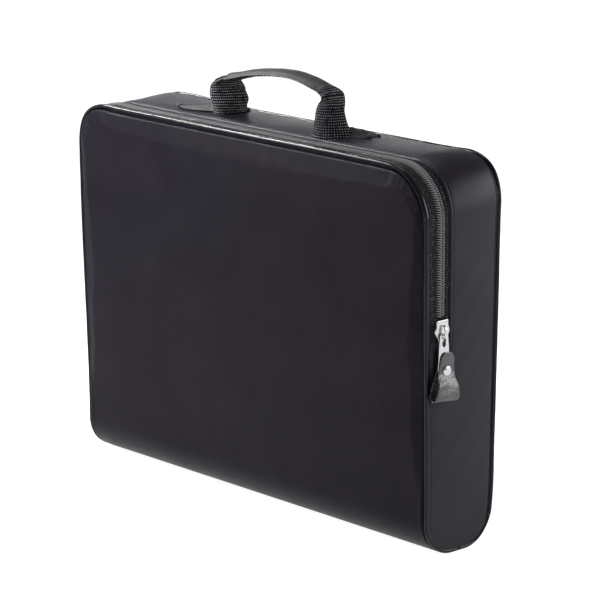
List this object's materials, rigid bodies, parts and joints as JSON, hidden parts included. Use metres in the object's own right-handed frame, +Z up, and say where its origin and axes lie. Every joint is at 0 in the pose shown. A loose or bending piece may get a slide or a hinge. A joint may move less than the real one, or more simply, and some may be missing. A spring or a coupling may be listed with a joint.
{
  "type": "portfolio case",
  "caption": "Soft padded portfolio case, zipped round its top and sides, with a webbing handle, a fold-down front and a rounded bottom.",
  "frame": {"origin": "middle of the flat strip under the case, on the surface that it stands on", "axes": "+X to the right along the width, +Y from the zipped front to the back, +Z up"},
  "size_m": [0.4807, 0.083, 0.403],
  "materials": {
    "shell_nylon": "matte woven nylon, padded",
    "gusset_nylon": "smooth coated nylon with a satin sheen",
    "foam": "soft foam sheet, inside the walls",
    "board": "stiff plastic sheet, inside the walls",
    "lining": "thin woven lining",
    "piping_vinyl": "glossy vinyl over a cord",
    "zip_tape": "woven tape",
    "zip_coil": "moulded coil teeth, slight sheen",
    "slider_metal": "polished nickel plate",
    "pull_leather": "glossy grained black leather",
    "webbing": "ribbed woven webbing",
    "grip_vinyl": "soft vinyl, semi-gloss, fine grain",
    "patch_vinyl": "stitched vinyl patch"
  },
  "bodies": {
    "case": {"back_cover": "shell_nylon", "back_foam": "foam", "back_board": "board", "back_lining": "lining", "bottom_cover": "shell_nylon", "bottom_foam": "foam", "bottom_board": "board", "bottom_lining": "lining", "front_cover": "shell_nylon", "front_foam": "foam", "front_board": "board", "front_lining": "lining", "gusset_left_cover": "gusset_nylon", "gusset_left_board": "board", "gusset_left_lining": "lining", "gusset_right_cover": "gusset_nylon", "gusset_right_board": "board", "gusset_right_lining": "lining", "gusset_top_cover": "gusset_nylon", "gusset_top_board": "board", "gusset_top_lining": "lining", "piping_case": "piping_vinyl", "zip_tape_rear": "zip_tape", "zip_coil_rear": "zip_coil", "tape_ends_rear": "zip_tape", "handle_tail_left": "webbing", "handle_tail_right": "webbing", "handle_patch_left": "patch_vinyl", "handle_patch_right": "patch_vinyl", "handle_backing": "board"},
    "front_flap": {"flap_cover": "shell_nylon", "flap_foam": "foam", "flap_board": "board", "flap_lining": "lining", "piping_flap": "piping_vinyl", "zip_tape_front": "zip_tape", "zip_coil_front": "zip_coil", "tape_ends_front": "zip_tape"},
    "zip_slider": {"slider_body": "slider_metal", "slider_crown": "slider_metal"},
    "tongue": {"pull_tongue": "slider_metal"},
    "tab": {"pull_leather": "pull_leather", "pull_rivet": "slider_metal"},
    "handle": {"handle_core": "webbing", "handle_grip": "grip_vinyl", "handle_leg_left": "webbing", "handle_leg_right": "webbing"}
  },
  "joints": [
    {"name": "flap_fold", "type": "hinge", "parent": "case", "child": "front_flap", "pos_m": [0, -0.0415, 0.138], "axis": [1, 0, 0], "range_deg": [0, 120]},
    {"name": "slider_travel", "type": "slide", "parent": "case", "child": "zip_slider", "axis": [0, 0, 1], "range_m": [0, 0.085]},
    {"name": "tongue_swing", "type": "hinge", "parent": "zip_slider", "child": "tongue", "pos_m": [0.2376, -0.0255, 0.2026], "axis": [0, -1, 0], "range_deg": [0, 170]},
    {"name": "tab_swivel", "type": "hinge", "parent": "tongue", "child": "tab", "pos_m": [0.2376, -0.0255, 0.17], "axis": [1, 0, 0], "range_deg": [-20, 20]},
    {"name": "handle_swing", "type": "hinge", "parent": "case", "child": "handle", "pos_m": [0, 0, 0.352], "axis": [1, 0, 0], "range_deg": [-65, 65], "deforming": ["handle_leg_left", "handle_leg_right"]}
  ]
}
